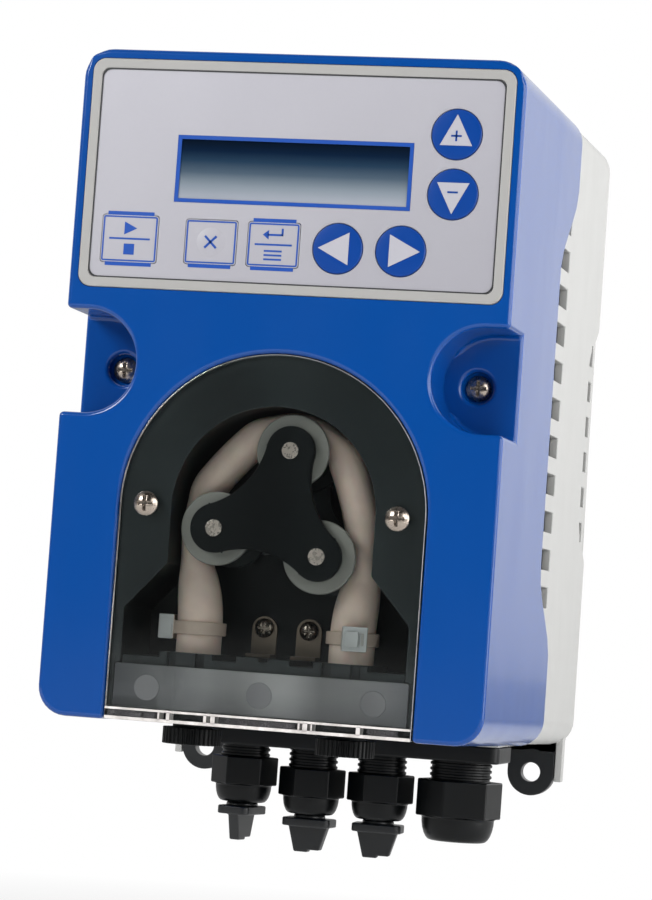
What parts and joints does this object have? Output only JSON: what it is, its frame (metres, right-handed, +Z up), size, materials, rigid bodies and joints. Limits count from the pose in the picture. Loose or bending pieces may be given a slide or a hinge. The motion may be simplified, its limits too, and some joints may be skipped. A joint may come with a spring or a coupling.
{
  "type": "wall-mounted peristaltic dosing pump",
  "caption": "Wall-mounted peristaltic dosing pump with a keypad panel, clear-covered roller head and cable glands.",
  "frame": {"origin": "on the wall plane, midway between the two holes of the wall lugs", "axes": "+X to the right seen from the front, +Y into the wall, +Z up"},
  "size_m": [0.129, 0.1573, 0.2229],
  "materials": {
    "blue_plastic": "glossy moulded ABS, deep blue",
    "white_plastic": "fine-textured moulded ABS, off-white",
    "black_plastic": "satin moulded nylon, black",
    "dark_plastic": "moulded polypropylene, dark grey-green",
    "clear_plastic": "clear polycarbonate",
    "facia_film": "printed polyester film, pale grey",
    "frame_plastic": "moulded plastic, warm grey",
    "lcd": "display glass with a dark blue filter",
    "circuit_board": "green solder-masked board",
    "steel": "bright stainless steel",
    "contact_metal": "nickel-plated strip, slightly dull",
    "roller_plastic": "turned acetal, light grey",
    "gear_plastic": "moulded acetal, natural",
    "tube_rubber": "peristaltic tube elastomer, beige",
    "seal_rubber": "soft black rubber",
    "tie_nylon": "natural nylon",
    "brass": "machined brass",
    "motor_metal": "zinc-plated steel can",
    "copper_winding": "varnished winding and laminations",
    "terminal_green": "moulded terminal strip, green"
  },
  "bodies": {
    "case": {"front_cover": "blue_plastic", "rear_housing": "white_plastic", "wall_bracket": "black_plastic", "case_screws": "steel", "panel_frame": "frame_plastic", "keypad_facia": "facia_film", "display_window": "lcd", "display_module": "circuit_board", "control_board": "circuit_board", "key_switches": "dark_plastic", "pump_head_housing": "dark_plastic", "clear_cover": "clear_plastic", "clear_cover_screws": "steel", "strip_plate": "frame_plastic", "tube_holder": "dark_plastic", "pump_tube": "tube_rubber", "tube_tie_left": "tie_nylon", "tube_tie_right": "tie_nylon", "tube_connector_left": "dark_plastic", "tube_connector_right": "dark_plastic", "leak_contacts": "contact_metal", "inner_screws": "steel", "shaft_bearings": "steel", "gearbox_housing": "dark_plastic", "gearbox_cover": "dark_plastic", "drive_motor": "motor_metal", "power_board": "circuit_board", "transformer": "copper_winding", "terminal_block": "terminal_green", "gland_plate": "black_plastic", "gland_body_1": "black_plastic", "gland_body_2": "black_plastic", "gland_body_3": "black_plastic", "gland_body_4": "black_plastic", "gland_seals": "seal_rubber", "gland_plugs": "black_plastic"},
    "rotor": {"rotor_front_plate": "dark_plastic", "rotor_rear_plate": "dark_plastic", "rotor_shaft": "steel", "roller_pins": "steel", "output_gear": "gear_plastic"},
    "roller_1": {"roller_1": "roller_plastic"},
    "roller_2": {"roller_2": "roller_plastic"},
    "roller_3": {"roller_3": "roller_plastic"},
    "idler": {"idler_gear": "gear_plastic"},
    "motor_rotor": {"motor_pinion": "brass"},
    "key_plus": {"key_plus": "blue_plastic"},
    "key_minus": {"key_minus": "blue_plastic"},
    "key_left": {"key_left": "blue_plastic"},
    "key_right": {"key_right": "blue_plastic"},
    "key_start_stop": {"key_start_stop": "facia_film"},
    "key_escape": {"key_escape": "facia_film"},
    "key_enter": {"key_enter": "facia_film"},
    "gland_nut_1": {"gland_nut_1": "black_plastic"},
    "gland_nut_2": {"gland_nut_2": "black_plastic"},
    "gland_nut_3": {"gland_nut_3": "black_plastic"},
    "gland_nut_4": {"gland_nut_4": "black_plastic"},
    "connector_nut_left": {"connector_nut_left": "black_plastic"},
    "connector_nut_right": {"connector_nut_right": "black_plastic"}
  },
  "joints": [
    {"name": "rotor_spin", "type": "hinge", "parent": "case", "child": "rotor", "pos_m": [0, -0.139, 0.0703], "axis": [0, 1, 0], "continuous": true, "deforming": ["pump_tube"]},
    {"name": "roller_1_spin", "type": "hinge", "parent": "rotor", "child": "roller_1", "pos_m": [0.00349, -0.139, 0.08714], "axis": [0, 1, 0], "continuous": true},
    {"name": "roller_2_spin", "type": "hinge", "parent": "rotor", "child": "roller_2", "pos_m": [-0.01633, -0.139, 0.0649], "axis": [0, 1, 0], "continuous": true},
    {"name": "roller_3_spin", "type": "hinge", "parent": "rotor", "child": "roller_3", "pos_m": [0.01284, -0.139, 0.05886], "axis": [0, 1, 0], "continuous": true},
    {"name": "idler_spin", "type": "hinge", "parent": "case", "child": "idler", "pos_m": [0, -0.107, 0.0943], "axis": [0, 1, 0], "continuous": true},
    {"name": "motor_spin", "type": "hinge", "parent": "case", "child": "motor_rotor", "pos_m": [0, -0.1, 0.0703], "axis": [0, 1, 0], "continuous": true},
    {"name": "key_plus_press", "type": "slide", "parent": "case", "child": "key_plus", "axis": [0, 1, 0], "range_m": [0, 0.0005], "stiffness_N_per_m": 1500},
    {"name": "key_minus_press", "type": "slide", "parent": "case", "child": "key_minus", "axis": [0, 1, 0], "range_m": [0, 0.0005], "stiffness_N_per_m": 1500},
    {"name": "key_left_press", "type": "slide", "parent": "case", "child": "key_left", "axis": [0, 1, 0], "range_m": [0, 0.0005], "stiffness_N_per_m": 1500},
    {"name": "key_right_press", "type": "slide", "parent": "case", "child": "key_right", "axis": [0, 1, 0], "range_m": [0, 0.0005], "stiffness_N_per_m": 1500},
    {"name": "key_start_stop_press", "type": "slide", "parent": "case", "child": "key_start_stop", "axis": [0, 1, 0], "range_m": [0, 0.0005], "stiffness_N_per_m": 1500},
    {"name": "key_escape_press", "type": "slide", "parent": "case", "child": "key_escape", "axis": [0, 1, 0], "range_m": [0, 0.0005], "stiffness_N_per_m": 1500},
    {"name": "key_enter_press", "type": "slide", "parent": "case", "child": "key_enter", "axis": [0, 1, 0], "range_m": [0, 0.0005], "stiffness_N_per_m": 1500},
    {"name": "gland_nut_1_turn", "type": "hinge", "parent": "case", "child": "gland_nut_1", "pos_m": [-0.0205, -0.08, -0.005], "axis": [0, 0, 1], "continuous": true},
    {"name": "gland_nut_2_turn", "type": "hinge", "parent": "case", "child": "gland_nut_2", "pos_m": [0, -0.08, -0.005], "axis": [0, 0, 1], "continuous": true},
    {"name": "gland_nut_3_turn", "type": "hinge", "parent": "case", "child": "gland_nut_3", "pos_m": [0.0205, -0.08, -0.005], "axis": [0, 0, 1], "continuous": true},
    {"name": "gland_nut_4_turn", "type": "hinge", "parent": "case", "child": "gland_nut_4", "pos_m": [0.0438, -0.08, -0.005], "axis": [0, 0, 1], "continuous": true},
    {"name": "connector_nut_left_turn", "type": "hinge", "parent": "case", "child": "connector_nut_left", "pos_m": [-0.0216, -0.139, 0.0077], "axis": [0, 0, 1], "continuous": true},
    {"name": "connector_nut_right_turn", "type": "hinge", "parent": "case", "child": "connector_nut_right", "pos_m": [0.0216, -0.139, 0.0077], "axis": [0, 0, 1], "continuous": true}
  ],
  "couplings": [
    {"joint": "roller_1_spin", "follows": "rotor_spin", "ratio": -3.4571},
    {"joint": "roller_2_spin", "follows": "rotor_spin", "ratio": -3.4571},
    {"joint": "roller_3_spin", "follows": "rotor_spin", "ratio": -3.4571},
    {"joint": "idler_spin", "follows": "rotor_spin", "ratio": -4},
    {"joint": "motor_spin", "follows": "rotor_spin", "ratio": 16}
  ]
}
